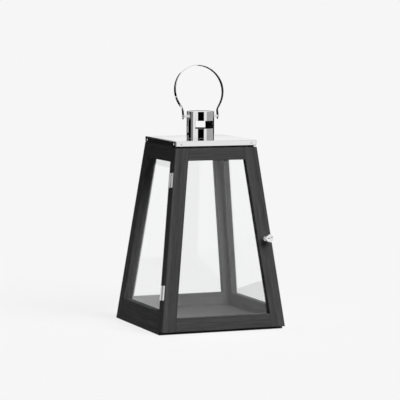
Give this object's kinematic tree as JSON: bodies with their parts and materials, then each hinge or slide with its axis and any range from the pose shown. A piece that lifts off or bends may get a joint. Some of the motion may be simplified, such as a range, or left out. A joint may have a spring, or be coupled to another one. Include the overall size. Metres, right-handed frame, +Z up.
{
  "type": "candle lantern",
  "caption": "Tapered wooden candle lantern with glass sides, a hinged front door with a ball knob, a folded steel top, a windowed chimney and a bail handle.",
  "frame": {"origin": "middle of the base on the ground", "axes": "+Z up, the door faces -Y and is hung on the -X side"},
  "size_m": [0.2298, 0.2305, 0.456],
  "materials": {
    "stained_wood": "black stain, satin, faint open grain",
    "dowel_wood": "bare beech",
    "pane_glass": "clear float glass",
    "polished_steel": "mirror polished stainless steel",
    "hinge_steel": "nickel plated",
    "nail_steel": "bright round heads",
    "zinc_steel": "zinc plated",
    "black_plastic": "moulded, matt",
    "magnet": "sintered ferrite"
  },
  "bodies": {
    "carcass": {"back_bottom_rail": "stained_wood", "back_glass": "pane_glass", "back_left_stile": "stained_wood", "back_right_stile": "stained_wood", "back_top_rail": "stained_wood", "base_board": "stained_wood", "cap_nails": "nail_steel", "catch_body": "black_plastic", "catch_magnet": "magnet", "catch_screws": "zinc_steel", "chimney": "polished_steel", "chimney_lid": "polished_steel", "frame_dowels": "dowel_wood", "front_sill": "stained_wood", "handle_pin_left": "polished_steel", "handle_pin_right": "polished_steel", "hinge_frame_screws": "hinge_steel", "left_bottom_rail": "stained_wood", "left_front_stile": "stained_wood", "left_glass": "pane_glass", "left_rear_stile": "stained_wood", "left_top_rail": "stained_wood", "lower_hinge_frame_leaf": "hinge_steel", "lower_hinge_pin": "hinge_steel", "right_bottom_rail": "stained_wood", "right_front_stile": "stained_wood", "right_glass": "pane_glass", "right_rear_stile": "stained_wood", "right_top_rail": "stained_wood", "top_board": "stained_wood", "top_board_screws": "zinc_steel", "top_cap": "polished_steel", "upper_hinge_frame_leaf": "hinge_steel", "upper_hinge_pin": "hinge_steel"},
    "door": {"door_bottom_rail": "stained_wood", "door_dowels": "dowel_wood", "door_glass": "pane_glass", "door_left_stile": "stained_wood", "door_right_stile": "stained_wood", "door_top_rail": "stained_wood", "hinge_door_screws": "hinge_steel", "knob": "polished_steel", "knob_stud": "zinc_steel", "lower_hinge_door_leaf": "hinge_steel", "strike_plate": "zinc_steel", "strike_screw": "zinc_steel", "upper_hinge_door_leaf": "hinge_steel"},
    "bail": {"handle": "polished_steel"}
  },
  "joints": [
    {"name": "door_hinge", "type": "hinge", "parent": "carcass", "child": "door", "pos_m": [-0.09561, -0.08137, 0.16619], "axis": [-0.1238, -0.1238, -0.9845], "range_deg": [0, 180]},
    {"name": "handle_pivot", "type": "hinge", "parent": "carcass", "child": "bail", "pos_m": [0, 0, 0.3664], "axis": [1, 0, 0], "range_deg": [-104, 124]}
  ]
}
